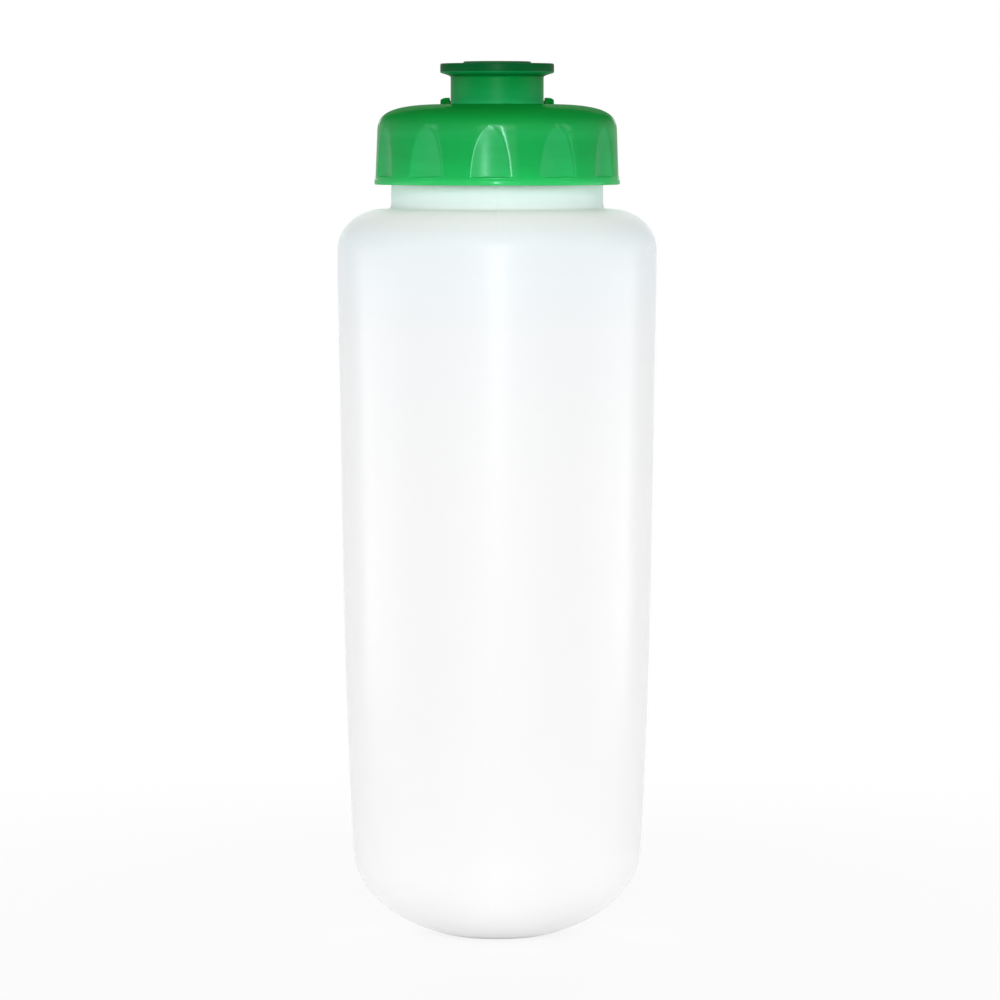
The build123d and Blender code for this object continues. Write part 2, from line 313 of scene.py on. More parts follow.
class Signal:
    """A value that varies over a surface; arithmetic on it adds Math nodes."""

    def __init__(self, finish, socket):
        self.finish = finish
        self.socket = socket

    def math(self, operation, first, second):
        return self.finish.node("ShaderNodeMath", {"operation": operation}, {0: first, 1: second})

    def __add__(self, other):
        return self.math("ADD", self, other)

    def __mul__(self, other):
        return self.math("MULTIPLY", self, other)

    def __sub__(self, other):
        return self.math("SUBTRACT", self, other)

    def __rsub__(self, other):
        return self.math("SUBTRACT", other, self)

    __radd__ = __add__
    __rmul__ = __mul__


class Finish:
    """Material of one plastic: constants are set on its shader, and what varies over it is fed to it."""

    def __init__(self, name, constants):
        self.material = bpy.data.materials.new(name)
        self.material.use_nodes = True
        self.tree = self.material.node_tree
        self.shader = self.tree.nodes["Principled BSDF"]
        for socket, value in constants.items():
            self.shader.inputs[socket].default_value = value
        self.place = self.node("ShaderNodeTexCoord", {}, {}, "Object")
        self.height = self.node("ShaderNodeSeparateXYZ", {}, {0: self.place}, "Z")

    def node(self, kind, settings, inputs, output=0):
        """Any node: its settings first, a ramp's stops among them, then its sockets' values or links."""
        node = self.tree.nodes.new(kind)
        for setting, value in settings.items():
            if setting != "stops":
                setattr(node, setting, value)
                continue
            ramp = node.color_ramp.elements
            ramp.remove(ramp[0])
            ramp[0].position, ramp[0].color = value[0]
            for position, colour in value[1:]:
                ramp.new(position).color = colour
        for socket, value in inputs.items():
            if isinstance(value, Signal):
                self.tree.links.new(value.socket, node.inputs[socket])
            else:
                node.inputs[socket].default_value = value
        return Signal(self, node.outputs[output])

    def noise(self, scale, detail=2, stretch=(1, 1, 1)):
        """Noise from 0 to 1, finer with scale and drawn out where the stretch is under 1."""
        place = self.node("ShaderNodeMapping", {}, {"Vector": self.place, "Scale": stretch})
        return self.node("ShaderNodeTexNoise", {}, {"Vector": place, "Scale": scale, "Detail": detail})

    def between(self, low, high, value=None):
        """Smooth step of a value, by default the height, from 0 at low to 1 at high."""
        inputs = {"Value": value or self.height, "From Min": low, "From Max": high}
        return self.node("ShaderNodeMapRange", {"interpolation_type": "SMOOTHSTEP"}, inputs)

    def by_height(self, *stops):
        """Colour that changes with height, from (height, colour) stops."""
        low = stops[0][0]
        span = stops[-1][0] - low
        shares = [((height - low) / span, colour) for height, colour in stops]
        return self.node("ShaderNodeValToRGB", {"stops": shares}, {0: (self.height - low) * (1 / span)})

    def mix(self, share, first, second, blend="MIX"):
        """Colour between two, or the first with the second blended in."""
        settings = {"data_type": "RGBA", "blend_type": blend}
        return self.node("ShaderNodeMix", settings, {0: share, 6: first, 7: second}, 2)

    def feed(self, colour, roughness, relief, depth):
        """Link the shader to its colour, roughness and relief, whose full height is the depth."""
        bump = self.node("ShaderNodeBump", {}, {"Distance": depth, "Height": relief}, "Normal")
        self.tree.links.new(colour.socket, self.shader.inputs["Base Color"])
        self.tree.links.new(roughness.socket, self.shader.inputs["Roughness"])
        self.tree.links.new(bump.socket, self.shader.inputs["Normal"])

    def dull(self, share):
        """Where the share is 1 the surface has no gloss: a second shader without it is mixed in."""
        plain = self.node("ShaderNodeBsdfPrincipled", {}, {"Specular IOR Level": 0.0})
        for socket in ("Base Color", "Roughness", "Normal"):
            source = self.shader.inputs[socket].links[0].from_socket
            self.tree.links.new(source, plain.socket.node.inputs[socket])
        gloss = Signal(self, self.shader.outputs[0])
        both = self.node("ShaderNodeMixShader", {}, {0: share, 1: gloss, 2: plain})
        self.tree.links.new(both.socket, self.tree.nodes["Material Output"].inputs["Surface"])


def paint(red, green, blue):
    """Shader colour of an 8-bit one."""
    levels = [level / 255 for level in (red, green, blue)]
    return tuple(v / 12.92 if v <= 0.04045 else ((v + 0.055) / 1.055) ** 2.4 for v in levels) + (1.0,)


def dress(piece, finish, smooth_angle=40):
    """Smooth the faces that meet at less than the angle, and give the piece its finish."""
    pick(piece)
    bpy.ops.object.shade_smooth_by_angle(angle=radians(smooth_angle))
    piece.data.materials.clear()
    piece.data.materials.append(finish.material)


milky = Finish("milky_polyethylene", {"IOR": 1.5, "Specular IOR Level": 0.085})
# Milky white by height, with painted light and shade in it. It is lighter towards the heel, against its
# contact shade, and greyer and cooler up the shoulder. A darker band sits at 0.1735 and a painted lit band on
# the shoulder's top at 0.1772. The neck is painted brighter where the cap's lip shades it, and mint where
# light comes through the green cap.
tint_with_painted_light = milky.by_height(
    (0.006, paint(254, 254, 254)),
    (0.024, paint(251, 251, 251)),
    (0.110, paint(250, 250, 250)),
    (0.145, paint(247, 248, 249)),
    (0.1625, paint(242, 247, 249)),
    (0.1700, paint(238, 246, 248)),
    (0.1735, paint(237, 245, 245)),
    (0.1755, paint(242, 248, 246)),
    (0.1772, paint(254, 255, 255)),
    (0.1788, paint(252, 255, 255)),
    (0.1800, paint(241, 253, 253)),
    (0.1820, paint(240, 253, 253)),
    (0.1835, paint(239, 255, 253)),
    (0.1850, paint(238, 252, 249)),
    (0.1880, paint(240, 247, 246)),
    (0.1985, paint(243, 246, 246)),
)
cloud = milky.noise(26, 3, (1, 1, 0.35))
grain = milky.noise(2600, 2)
flow = milky.noise(90, 2, (1, 1, 0.2))
milky.feed(
    milky.mix(1.0, tint_with_painted_light, 0.985 + cloud * 0.03, "MULTIPLY"),
    0.22 + milky.between(0.165, 0.180) * 0.10 + grain * 0.06,
    grain * 0.25 + flow,
    0.05 * mm,
)
milky.dull(milky.between(0.169, 0.1755) * 0.85)

raise_seam(bottle)
bottle = joined(bottle, thread("neck_thread", neck_radius, 1, neck_thread_start))
dress(bottle, milky)
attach(bottle, "bottle")
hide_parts("bottle")

# -------------------------------------------------------------- screw cap
# One moulding in glossy green polypropylene: lip, fluted skirt with a thread inside, domed crown and spout.
# It turns on the neck's thread, and two ears on its crown hold the lid's hinge pin.

cap_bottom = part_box("screw_cap")[0].z
spout_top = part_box("screw_cap")[1].z
lip_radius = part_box("screw_cap")[1].x
crown_top = spout_top - 5.4 * mm
crown_underside = crown_top - 1.9 * mm
skirt_bottom_radius = lip_radius - 0.24 * mm
skirt_bottom = cap_bottom + 1.6 * mm
skirt_top_radius = 29.42 * mm
skirt_top = crown_top - 7.15 * mm
crown_flat_radius = 12.5 * mm
cap_bore = 27.7 * mm
liner_seat = lip_level + 1.2 * mm
seat_edge = 26.7 * mm
seat_inner = 23.5 * mm
spout_radius = 6.3 * mm
spout_base_radius = 6.9 * mm
spout_bore = 5.2 * mm
valve_seat = crown_top - 2.2 * mm
valve_bottom = valve_seat - 1.2 * mm
pocket_radius = 7.6 * mm
pocket_wall = 1.6 * mm
pocket_bottom = valve_bottom - 2.8 * mm
bead_rise = 0.3 * mm
bead_height = 1.0 * mm
bead_bottom = pocket_bottom + 1.1 * mm
flute_count = 11
flute_phase = radians(-93.3)
flute_depth = 0.95 * mm
flute_radius = 22.0 * mm
flute_upright = 3.0 * mm
flute_lean = 0.0052 / mm
flute_floor = cap_bottom + 2.0 * mm
flute_columns = 32
flute_inner_limit = 28.0 * mm
flute_margin = 0.9 * mm
flute_gather_depth = 0.8 * mm
flute_gather_rise = 1.0 * mm
flute_corner_angle = radians(1.6)
flute_crowding = 1.5
flute_floor_rise = 0.3 * mm
flute_mask_depth = 0.16 * mm
flute_mask_start = 0.3
softness_middle = 0.20
softness_swing = 0.10
dome_rows = 72
skirt_row_count = 14


def bezier(points, steps):
    """Points along a cubic Bezier, its first one left out."""
    a, b, c, d = points
    curve = []
    for step in range(1, steps + 1):
        t = step / steps
        weights = ((1 - t) ** 3, 3 * t * (1 - t) ** 2, 3 * t**2 * (1 - t), t**3)
        curve.append(tuple(sum(w * p[axis] for w, p in zip(weights, (a, b, c, d))) for axis in (0, 1)))
    return curve


def scoop_flutes(piece):
    """Flutes: the skirt's columns are gathered at each flute's edges, and its surface is scooped in."""
    half_pitch = pi / flute_count
    # The cap's finish also uses this flute mask to paint a sheen of reflected light into the hollows.
    inside = piece.data.attributes.new("flute", "FLOAT", "POINT").data
    for index, vertex in enumerate(piece.data.vertices):
        x, y, height = vertex.co
        radius = hypot(x, y)
        if radius < flute_inner_limit or height < cap_bottom + flute_margin:
            continue
        lean = flute_lean * max(0, height - flute_floor - flute_upright) ** 2
        axis = skirt_bottom_radius - flute_depth + flute_radius + lean
        meeting = (radius**2 + axis**2 - flute_radius**2) / (2 * radius * axis)
        edge = sqrt(acos(min(1, meeting)) ** 2 + flute_corner_angle**2) / half_pitch
        angle = atan2(y, x) - flute_phase
        nearest = round(angle / (2 * half_pitch)) * 2 * half_pitch
        across = (angle - nearest) / half_pitch
        share = abs(across)
        if share < 0.5:
            gathered = edge * (1 - (1 - 2 * share) ** flute_crowding)
        else:
            gathered = edge + (1 - edge) * (2 * share - 1) ** flute_crowding
        hold = smooth_step((radius - flute_inner_limit) / flute_gather_depth)
        hold *= smooth_step((height - cap_bottom - flute_margin) / flute_gather_rise)
        share += (gathered - share) * hold
        turn = share * half_pitch * (1 if across > 0 else -1)
        scoop = axis * cos(turn) - sqrt(flute_radius**2 - (axis * sin(turn)) ** 2)
        depth = radius - scoop
        if height > flute_floor - 0.1 * mm:
            inside[index].value = smooth_step(depth / flute_mask_depth + flute_mask_start)
        softness = (softness_middle + softness_swing * max(-1, min(1, across * 4))) * mm
        depth = (depth + hypot(depth, softness)) / 2
        depth *= smooth_step((height - flute_floor) / flute_floor_rise + 0.5)
        radius -= depth
        angle = flute_phase + nearest + turn
        vertex.co = (radius * cos(angle), radius * sin(angle), height)


def cut(piece, tool):
    """Cut the tool's shape out of the piece, and delete the tool."""
    pick(piece)
    boolean = piece.modifiers.new("cut", "BOOLEAN")
    boolean.object = tool
    bpy.ops.object.modifier_apply(modifier=boolean.name)
    bpy.data.objects.remove(tool)


def settle(piece, location, rotation):
    """Turn a piece, put it in its place, and apply both to its mesh."""
    pick(piece)
    piece.location = location
    piece.rotation_euler = rotation
    bpy.ops.object.transform_apply(location=True, rotation=True, scale=True)
    return piece


ledge_rows = [flute_floor + offset * mm for offset in (-0.2, -0.12, -0.05, 0, 0.05, 0.12, 0.2, 0.4)]
skirt_rows = ledge_rows + [
    flute_floor + (skirt_top - flute_floor) * row / skirt_row_count
    for row in range(1, skirt_row_count + 1)
]
skirt_slope = (skirt_top_radius - skirt_bottom_radius) / (skirt_top - skirt_bottom)
dome_rise = 4.29 * mm
dome_fullness = 0.91
spout_apron_radius = 9.5 * mm
cap_outline = (
    rounded(
        (cap_bore, cap_bottom, 0.3 * mm),
        (lip_radius, cap_bottom, 0.35 * mm),
        (lip_radius, cap_bottom + 1.0 * mm, 0.25 * mm),
        (skirt_bottom_radius, skirt_bottom, 0.25 * mm),
        (skirt_bottom_radius, flute_floor, 0),
        (cap_bore, flute_floor, 0),
    )[:-2]
    + [(skirt_bottom_radius + (row - skirt_bottom) * skirt_slope, row) for row in skirt_rows]
    + bezier(
        (
            (skirt_top_radius, skirt_top),
            (skirt_top_radius, skirt_top + dome_rise),
            (crown_flat_radius + dome_fullness * (skirt_top_radius - crown_flat_radius), crown_top),
            (crown_flat_radius, crown_top),
        ),
        dome_rows,
    )
    + [(spout_apron_radius, crown_top)]
    + rounded(
        (spout_base_radius + 1.5 * mm, crown_top, 0),
        (spout_base_radius, crown_top, 0.4 * mm),
        (spout_radius, spout_top, 0.35 * mm),
        (spout_bore, spout_top, 0.5 * mm),
        (spout_bore, valve_seat, 0),
        (pocket_radius, valve_seat, 0),
        (pocket_radius, bead_bottom + bead_height, 0),
        (pocket_radius + bead_rise, bead_bottom + bead_height, 0),
        (pocket_radius + bead_rise, bead_bottom, 0),
        (pocket_radius, bead_bottom, 0),
        (pocket_radius, pocket_bottom, 0.2 * mm),
        (pocket_radius + pocket_wall, pocket_bottom, 0.3 * mm),
        (pocket_radius + pocket_wall, crown_underside, 0.5 * mm),
        (seat_inner, crown_underside, 0.5 * mm),
        (seat_inner, liner_seat, 0.1 * mm),
        (seat_edge, liner_seat, 0),
        (cap_bore, liner_seat - 1.5 * mm, 0),
        (cap_bore, cap_bottom + 6.0 * mm, 0),
    )
)
fluted_cap = turned("fluted_cap", cap_outline + cap_outline[:1], flute_count * flute_columns)
settle(fluted_cap, (0, 0, 0), (0, 0, flute_phase))
scoop_flutes(fluted_cap)

hinge_y = 14.3 * mm
hinge_z = crown_top + 0.4 * mm
pin_hole_radius = 0.65 * mm
knuckle_bed_radius = 1.35 * mm
ear_inner = 11.7 * mm
ear_width = 2.45 * mm
ear_radius = 1.25 * mm
ear_corner = 0.9 * mm
ear_slope = 1.7 * mm
ear_root_depth = 1.3 * mm
ear_edge = 0.1 * mm
ear_round = 70.5
ear_hole_rim = 0.8 * mm
hair = 0.001 * mm


def along_hinge(radius, half_length):
    """Round bar on the hinge axis, for cuts."""
    bpy.ops.object.select_all(action="DESELECT")
    bpy.ops.mesh.primitive_cylinder_add(vertices=64, radius=radius, depth=2 * half_length)
    return settle(bpy.context.object, (0, hinge_y, hinge_z), (0, pi / 2, 0))


cut(fluted_cap, along_hinge(knuckle_bed_radius, ear_inner))
for side in (-1, 1):
    ear_foot = [(pin_hole_radius, 0), (ear_radius - ear_edge, 0), (ear_radius, ear_edge)]
    ear_centre = (ear_radius - ear_corner, ear_width - ear_slope)
    ear_outline = ear_foot + arc(ear_centre, (ear_corner, ear_slope), 0, ear_round, 14)
    ear = turned("hinge_ear", ear_outline + ear_outline[:1], 64)
    settle(ear, (side * ear_inner, hinge_y, hinge_z), (0, side * pi / 2, 0))
    for vertex in ear.data.vertices:
        drop = hinge_z - vertex.co.z
        if drop > hair and hypot(vertex.co.y - hinge_y, drop) > ear_hole_rim:
            vertex.co.z -= ear_root_depth
    fluted_cap = joined(fluted_cap, ear)

crest_overlap = (neck_radius + thread_depth) - (cap_bore - thread_depth)
flank_slope = (thread_root - thread_crest) / 2 / (thread_depth + thread_root_overlap)
thread_clearance = 0.4 * mm
thread_drop = thread_crest + flank_slope * crest_overlap
cap_thread_start = neck_thread_start - thread_drop - thread_clearance
fluted_cap = joined(fluted_cap, thread("cap_thread", cap_bore, -1, cap_thread_start))

green_glint = (0.6, 1, 0.9, 1)
glossy = Finish(
    "glossy_green_polypropylene",
    {"IOR": 1.49, "Specular IOR Level": 0.35, "Specular Tint": green_glint},
)
# Green by height, partly the plastic's own colour and partly painted light and shade. It is painted darker
# towards the crown, where the dome faces up away from the lamps, and painted lighter towards the lip at the
# bottom.
green = glossy.by_height(
    (0.1846, paint(56, 208, 110)),
    (0.1853, paint(50, 202, 104)),
    (0.1866, paint(28, 186, 88)),
    (0.1880, paint(26, 180, 84)),
    (0.1920, paint(22, 168, 76)),
    (0.1950, paint(18, 167, 76)),
    (0.1972, paint(31, 171, 82)),
    (0.1990, paint(26, 161, 72)),
    (0.2010, paint(16, 146, 58)),
    (0.2030, paint(10, 138, 48)),
    (0.2098, paint(8, 138, 48)),
)
scoop = glossy.node("ShaderNodeAttribute", {"attribute_name": "flute"}, {}, "Fac")
streaks = glossy.noise(60, 4, (1, 1, 9))
pits = glossy.noise(1800, 2)
glossy.feed(
    glossy.mix(
        1.0,
        # The flutes' hollows are painted paler and whiter: a painted sheen of reflected light.
        glossy.mix(scoop * 0.14, green, paint(90, 215, 150)),
        0.89 + streaks * 0.22,
        "MULTIPLY",
    ),
    0.12 + scoop * 0.08 + streaks * 0.06,
    glossy.noise(420, 3) + pits * 0.3,
    0.01 * mm,
)
glossy.dull(0.64 + glossy.between(0.1985, 0.2015) * 0.34)
dress(fluted_cap, glossy, 30)
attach(fluted_cap, "cap")
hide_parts("screw_cap")

# ------------------------------------------------------------- sealing ring
# Flat ring cut from white foamed polyethylene sheet, pressed into the seat inside the cap.
# It stays between the neck's lip and the cap, and makes the joint tight.

liner_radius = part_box("cap_liner")[1].x
liner_width = 2.4 * mm
liner_edge = 0.12 * mm
liner_outline = rounded(
    (liner_radius - liner_width, lip_level, liner_edge),
    (liner_radius, lip_level, liner_edge),
    (liner_radius, liner_seat, liner_edge),
    (liner_radius - liner_width, liner_seat, liner_edge),
)
sealing_ring = turned("sealing_ring", liner_outline + liner_outline[:1], 128)
foam = Finish("white_foam_sheet", {"IOR": 1.45, "Specular IOR Level": 0.3})
cells = foam.noise(1900, 3)
foam.feed(
    foam.mix(cells, paint(226, 226, 222), paint(240, 240, 236)),
    0.72 + cells * 0.12,
    cells,
    0.06 * mm,
)
dress(sealing_ring, foam)
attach(sealing_ring, "liner")
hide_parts("cap_liner")

# --------------------------------------------------------- silicone valve
# Clear silicone valve moulded in one piece: flange, short sleeve and a dished head cut with a cross slit.
# Its flange is held between the spout and the snap ring.

valve_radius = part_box("dispensing_valve")[1].x
valve_head_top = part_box("dispensing_valve")[1].z
valve_wall = 0.6 * mm
valve_sleeve = spout_bore - 0.2 * mm
valve_dish = 0.7 * mm
slit_size = (6.0 * mm, 0.15 * mm, 4.0 * mm)
head_rows = 10
head_top_side = []
head_under_side = []
for row in range(head_rows):
    out = row / head_rows
    sag = valve_dish * (1 - smooth_step(out))
    head_top_side.append((valve_sleeve * out, valve_head_top - sag))
    head_under_side.append(((valve_sleeve - valve_wall) * out, valve_head_top - valve_wall - sag))
valve_outline = (
    head_top_side
    + rounded(
        (valve_sleeve - 0.4 * mm, valve_head_top, 0),
        (valve_sleeve, valve_head_top, 0.3 * mm),
        (valve_sleeve, valve_seat, 0.1 * mm),
        (valve_radius, valve_seat, 0.2 * mm),
        (valve_radius, valve_bottom, 0.2 * mm),
        (valve_sleeve - valve_wall, valve_bottom, 0.2 * mm),
        (valve_sleeve - valve_wall, valve_head_top - valve_wall, 0.2 * mm),
        (0, valve_head_top - valve_wall, 0),
    )[:-1]
    + head_under_side[::-1]
)
slit_valve = turned("slit_valve", valve_outline, 96)
for turn in (0, pi / 2):
    bpy.ops.object.select_all(action="DESELECT")
    bpy.ops.mesh.primitive_cube_add(size=1, scale=slit_size)
    cut(slit_valve, settle(bpy.context.object, (0, 0, valve_head_top), (0, 0, turn)))
silicone = Finish("clear_silicone", {"IOR": 1.41, "Specular IOR Level": 0.5})
haze = silicone.noise(500, 2)
silicone.feed(
    silicone.mix(haze, paint(214, 222, 219), paint(228, 234, 231)),
    0.26 + haze * 0.14,
    haze,
    0.02 * mm,
)
dress(slit_valve, silicone)
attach(slit_valve, "cap")
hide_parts("dispensing_valve")

# ------------------------------------------------------------- snap ring
# Ring of natural polypropylene that snaps over the bead in the cap's pocket.
# It holds the valve's flange up against the spout.

ring_bore = 4.9 * mm
ring_fit = 0.05 * mm
ring_bead_chamfer = 0.15 * mm
ring_radius = pocket_radius - ring_fit
ring_bottom = pocket_bottom + 0.4 * mm
ring_outline = rounded(
    (ring_bore, ring_bottom, 0.2 * mm),
    (ring_radius, ring_bottom, 0.2 * mm),
    (ring_radius, bead_bottom + ring_fit, 0),
    (ring_radius + bead_rise, bead_bottom + ring_bead_chamfer, 0),
    (ring_radius + bead_rise, bead_bottom + bead_height - ring_bead_chamfer, 0),
    (ring_radius, bead_bottom + bead_height - ring_fit, 0),
    (ring_radius, valve_bottom, 0.15 * mm),
    (ring_bore, valve_bottom, 0.15 * mm),
)
snap_ring = turned("snap_ring", ring_outline + ring_outline[:1], 96)
natural = Finish("natural_polypropylene", {"IOR": 1.49, "Specular IOR Level": 0.4})
skin = natural.noise(900, 3)
natural.feed(
    natural.mix(skin, paint(222, 226, 222), paint(234, 237, 233)),
    0.34 + skin * 0.16,
    skin,
    0.03 * mm,
)
dress(snap_ring, natural)
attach(snap_ring, "cap")
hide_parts("valve_retainer")

# ------------------------------------------------------------- hinge pin
# Round pin of green polypropylene, its ends chamfered.
# It is pushed through the cap's ears and the lid's knuckle.

pin_half_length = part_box("hinge_pin")[1].x
pin_radius = 0.6 * mm
pin_chamfer = 0.2 * mm
pin_outline = rounded(
    (0, -pin_half_length, 0),
    (pin_radius, -pin_half_length, pin_chamfer),
    (pin_radius, pin_half_length, pin_chamfer),
    (0, pin_half_length, 0),
)
pin = turned("round_pin", pin_outline, 48)
settle(pin, (0, hinge_y, hinge_z), (0, pi / 2, 0))
rod = Finish("green_rod", {"IOR": 1.49, "Specular IOR Level": 0.3})
drawn = rod.noise(300, 3, (0.1, 4, 4))
rod.feed(
    rod.mix(drawn, paint(6, 106, 40), paint(14, 124, 50)),
    0.28 + drawn * 0.14,
    drawn,
    0.02 * mm,
)
dress(pin, rod)
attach(pin, "cap")
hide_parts("hinge_pin")

# -------------------------------------------------------------- flip lid
# One satin green moulding: a tube over the spout, a coned flange to lift it by, and a knuckle on a short web.
# It turns on the hinge pin at the back of the crown.

lid_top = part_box("flip_lid")[1].z
rim_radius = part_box("flip_lid")[1].x - 0.2 * mm
flange_bottom = lid_top - 2.3 * mm
cone_foot = flange_bottom - 0.65 * mm
lid_bottom = crown_top + 0.01 * mm
tube_radius = 11.4 * mm
tube_bore = 10.3 * mm
lid_ceiling = lid_top - 2.0 * mm
plug_head_radius = 8.3 * mm
plug_seat = lid_top - 0.7 * mm
plug_stem_radius = 2.5 * mm
plug_fit = 0.05 * mm
knuckle_radius = 1.2 * mm
knuckle_half_length = 11.4 * mm
web_half_width = 8.5 * mm
lid_columns = 160
lid_outline = rounded(
    (tube_bore, lid_bottom, 0.15 * mm),
    (tube_radius, lid_bottom, 0.05 * mm),
    (tube_radius, cone_foot - 0.3 * mm, 0.3 * mm),
    (tube_radius + 0.5 * mm, cone_foot, 0.4 * mm),
    (rim_radius, flange_bottom, 0.3 * mm),
    (rim_radius, lid_top, 0.4 * mm),
    (plug_head_radius + plug_fit, lid_top, 0.12 * mm),
    (plug_head_radius + plug_fit, plug_seat, 0),
    (plug_stem_radius + plug_fit, plug_seat, 0),
    (plug_stem_radius + plug_fit, lid_ceiling, 0.1 * mm),
    (tube_bore, lid_ceiling, 0.3 * mm),
)
flanged_lid = turned("flanged_lid", lid_outline + lid_outline[:1], lid_columns)

bpy.ops.object.select_all(action="DESELECT")
web_inset = 0.02 * mm
web_foot = lid_bottom + web_inset
web_top = hinge_z + knuckle_radius - web_inset
bpy.ops.mesh.primitive_cube_add(
    size=1,
    location=(0, hinge_y / 2, (web_foot + web_top) / 2),
    scale=(2 * web_half_width, hinge_y, web_top - web_foot),
)
web = settle(bpy.context.object, bpy.context.object.location, (0, 0, 0))
web.name = web.data.name = "hinge_web"
bpy.ops.object.select_all(action="DESELECT")
web_cut_radius = tube_bore + 0.6 * mm
bpy.ops.mesh.primitive_cylinder_add(vertices=lid_columns, radius=web_cut_radius, depth=40 * mm)
cut(web, settle(bpy.context.object, (0, 0, hinge_z), (0, 0, 0)))
knuckle_outline = rounded(
    (pin_hole_radius, -knuckle_half_length, 0.08 * mm),
    (knuckle_radius, -knuckle_half_length, 0.2 * mm),
    (knuckle_radius, knuckle_half_length, 0.2 * mm),
    (pin_hole_radius, knuckle_half_length, 0.08 * mm),
)
cut(web, along_hinge(pin_hole_radius, 2 * web_half_width))
knuckle = turned("knuckle", knuckle_outline + knuckle_outline[:1], 64)
settle(knuckle, (0, hinge_y, hinge_z), (0, pi / 2, 0))
flanged_lid = joined(flanged_lid, web, knuckle)

satin = Finish(
    "satin_green_polypropylene",
    {"IOR": 1.49, "Specular IOR Level": 0.14, "Specular Tint": green_glint},
)
# Satin green by height, with painted light and shade: a painted shadow on the tube just under the flange, a
# painted lit band on the cone beneath the flange, and painted shade on the flange's rim. The tube is also
# lighter towards its foot.
lid_green_with_painted_light = satin.by_height(
    (0.2044, paint(40, 188, 108)),
    (0.2056, paint(28, 170, 90)),
    (0.2070, paint(20, 163, 82)),
    (0.2107, paint(2, 142, 60)),
    (0.2113, paint(4, 140, 62)),
    (0.2117, paint(20, 166, 90)),
    (0.2120, paint(20, 166, 90)),
    (0.2123, paint(6, 94, 42)),
    (0.2143, paint(4, 88, 40)),
)
brushed = satin.noise(240, 4, (1, 1, 3))
satin.feed(
    satin.mix(1.0, lid_green_with_painted_light, 0.92 + brushed * 0.16, "MULTIPLY"),
    0.30 + brushed * 0.14,
    brushed + satin.noise(1600, 2) * 0.6,
    0.03 * mm,
)
satin.dull(0.5 + satin.between(0.2119, 0.2127) * 0.2)
dress(flanged_lid, satin)
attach(flanged_lid, "lid")
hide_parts("flip_lid")

# ------------------------------------------------------------- lid plug
# Soft plug of green thermoplastic rubber: its dished head lies in the lid's top, and its stem passes through.
# A collar under the lid keeps it there, and its tapered tip closes the spout.

plug_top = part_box("lid_plug")[1].z
plug_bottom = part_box("lid_plug")[0].z
collar_bottom = plug_bottom + 2.0 * mm
tip_radius = 4.1 * mm
tip_root_radius = 5.0 * mm
collar_radius = 5.9 * mm
plug_outline = rounded(
    (0, plug_bottom, 0),
    (tip_radius, plug_bottom, 0.4 * mm),
    (tip_root_radius, collar_bottom, 0.15 * mm),
    (collar_radius, collar_bottom, 0.3 * mm),
    (collar_radius, lid_ceiling, 0.2 * mm),
    (plug_stem_radius, lid_ceiling, 0),
    (plug_stem_radius, plug_seat, 0),
    (plug_head_radius, plug_seat, 0),
    (plug_head_radius, plug_top, 0.3 * mm),
    (plug_head_radius - 1.6 * mm, plug_top, 0.4 * mm),
    (plug_head_radius - 2.4 * mm, plug_top - 0.3 * mm, 0.5 * mm),
    (0, plug_top - 0.35 * mm, 0),
)
soft_plug = turned("soft_plug", plug_outline, 128)
rubber = Finish("soft_green_rubber", {"IOR": 1.48, "Specular IOR Level": 0.1})
bloom = rubber.noise(500, 4)
rubber.feed(
    rubber.mix(bloom, paint(10, 84, 38), paint(18, 100, 50)),
    0.42 + bloom * 0.14,
    bloom + rubber.noise(2400, 2) * 0.6,
    0.03 * mm,
)
dress(soft_plug, rubber)
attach(soft_plug, "lid")
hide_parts("lid_plug")

# ----------------------------------------------------------------- studio
# White sweep under broad fills from the front, the back and above, with a weak glow up from the floor.
# Strips in front and at the sides either light the surfaces or only shine in their gloss, and the
# lighting strips at the sides are screened from the cap. The camera looks a little down on the bottle.

bpy.ops.object.select_all(action="DESELECT")
bpy.ops.mesh.primitive_grid_add(x_subdivisions=8, y_subdivisions=8, size=6)
floor = bpy.context.object
floor.name = "floor"

bpy.context.scene.view_settings.view_transform = "Standard"


def seen_directly(tree):
    """1 on rays from the camera, in reflections and through clear parts, and 0 on the light's own."""
    path = tree.nodes.new("ShaderNodeLightPath")
    total = path.outputs["Is Camera Ray"]
    for name in ("Is Glossy Ray", "Is Transmission Ray"):
        add = tree.nodes.new("ShaderNodeMath")
        add.operation = "MAXIMUM"
        tree.links.new(total, add.inputs[0])
        tree.links.new(path.outputs[name], add.inputs[1])
        total = add.outputs[0]
    return total


sweep = Finish(
    "white_sweep",
    {"Base Color": paint(248, 248, 248), "Roughness": 0.9, "Specular IOR Level": 0.0},
)
floor.data.materials.append(sweep.material)
seen = Signal(sweep, seen_directly(sweep.tree))
away = sweep.node("ShaderNodeVectorMath", {"operation": "LENGTH"}, {0: sweep.place}, "Value")
paper = sweep.node("ShaderNodeEmission", {}, {"Color": (1, 1, 1, 1), "Strength": 1.0})
shadow_radius = 0.06
white_radius = 0.40
whiteness = 0.84 + sweep.between(shadow_radius, white_radius, away) * 0.16
white = sweep.node("ShaderNodeMixShader", {}, {0: seen * whiteness, 2: paper})
sweep.tree.links.new(sweep.shader.outputs[0], white.socket.node.inputs[1])
sweep.tree.links.new(white.socket, sweep.tree.nodes["Material Output"].inputs["Surface"])

world = bpy.data.worlds.new("studio")
bpy.context.scene.world = world
world.use_nodes = True
surround = world.node_tree
room = surround.nodes["Background"]
level = surround.nodes.new("ShaderNodeMapRange")
level.inputs["To Min"].default_value = 0.37
level.inputs["To Max"].default_value = 1.0
surround.links.new(seen_directly(surround), level.inputs["Value"])
surround.links.new(level.outputs[0], room.inputs["Strength"])
room.inputs["Color"].default_value = (1, 1, 1, 1)


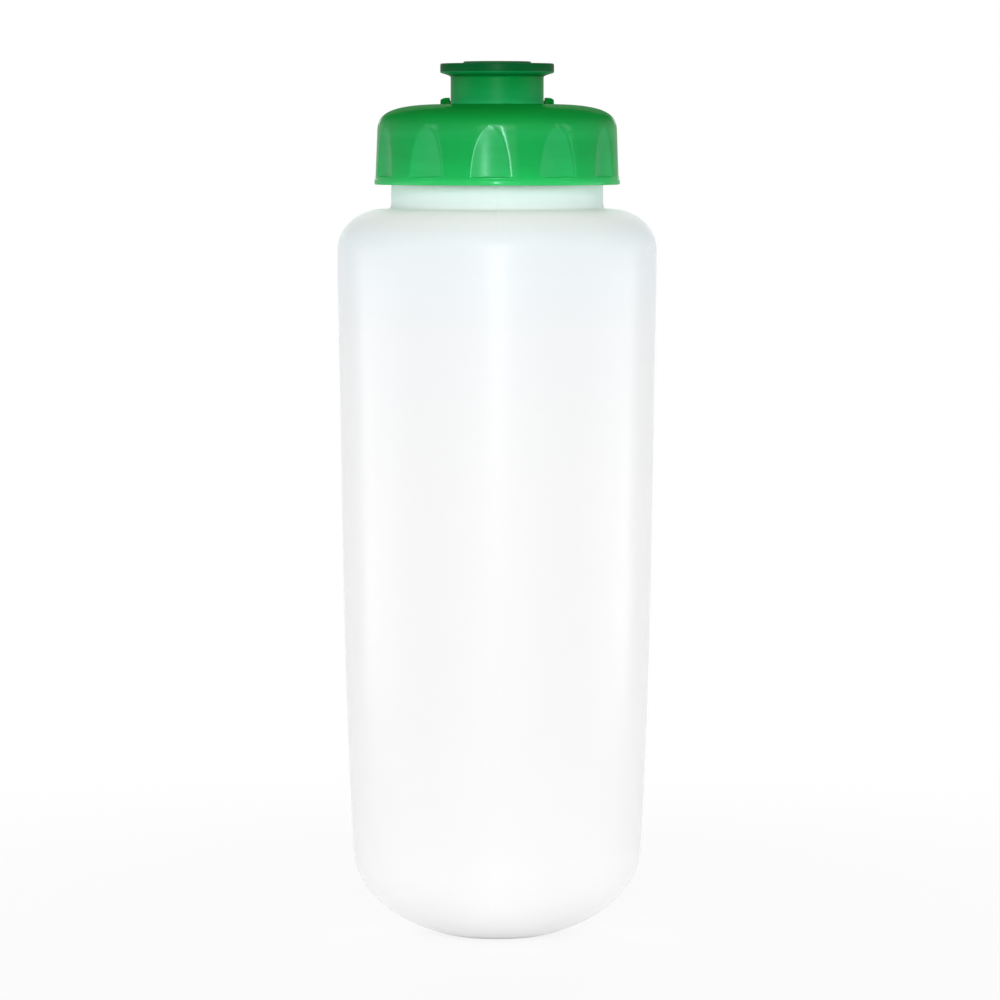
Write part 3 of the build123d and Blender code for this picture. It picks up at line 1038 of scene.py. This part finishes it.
def lamp(name, place, target, size, radiance):
    """Rectangular area lamp at a place, facing a target, given by its size and radiance."""
    bpy.ops.object.select_all(action="DESELECT")
    bpy.ops.object.light_add(type="AREA", location=place)
    light = bpy.context.object
    light.name = name
    light.data.shape = "RECTANGLE"
    light.data.size, light.data.size_y = size
    light.data.energy = radiance * pi * size[0] * size[1]
    x, y, z = (there - here for there, here in zip(target, place))
    light.rotation_euler = (pi / 2 + atan2(z, hypot(x, y)), 0, atan2(-x, y))
    light.visible_camera = False
    return light


def glow(*settings):
    """Lamp that lights surfaces and isn't mirrored in them."""
    light = lamp(*settings)
    light.visible_glossy = False
    return light


def sheen(*settings):
    """Lamp that is only mirrored in the gloss."""
    light = lamp(*settings)
    light.visible_diffuse = False
    return light


def around(azimuth, distance, height):
    """Place round the bottle, its azimuth in degrees from the front."""
    return (distance * sin(radians(azimuth)), -distance * cos(radians(azimuth)), height)


screened = bpy.data.collections.new("lit_by_side_strips")
screened.objects.link(bottle)
screened.objects.link(floor)
side_distance = 0.45
front_distance = 1.45
fill_distance = 1.9
fill_height = 0.70
fill_size = (1.2, 0.8)
body_middle = (0, 0, 0.0875)
bottle_middle = (0, 0, 0.12)
crown_target = (0, 0, 0.20)
for side in (-1, 1):
    place = around(side * 106, side_distance, body_middle[2])
    strip = glow("side_strip", place, body_middle, (0.17, 0.175), 4.6)
    strip.light_linking.receiver_collection = screened
    place = around(side * 93, side_distance, body_middle[2])
    sheen("side_sheen", place, body_middle, (0.32, 0.175), 4.0)
    sheen("upper_strip", around(side * 67, 1, 0.40), crown_target, (0.16, 0.36), 6.0)
sheen("front_sheen", (0, -front_distance, 0.30), (0, 0, 0.30), (0.07, 0.60), 90.0)
glow("front_strip", (0, -front_distance, 0.12), bottle_middle, (0.06, 0.60), 16.0)
lamp("front_fill", (0, -fill_distance, fill_height), bottle_middle, fill_size, 5.25)
lamp("back_fill", (0, fill_distance, fill_height), bottle_middle, fill_size, 4.5)
glow("top_fill", (0, -0.3, 1.4), (0, -0.001, 0.12), (1.0, 1.0), 0.8)
glow("floor_glow", (0, 0, 0.0005), (0, 0.001, 1), (0.16, 0.16), 0.09)

camera_place = (0.0007, -1.400, 0.19675)
camera_dip = 3.665
bpy.ops.object.camera_add(location=camera_place, rotation=(radians(90 - camera_dip), 0, 0))
camera = bpy.context.object
camera.data.lens = 205.15
camera.data.sensor_width = 36
bpy.context.scene.camera = camera
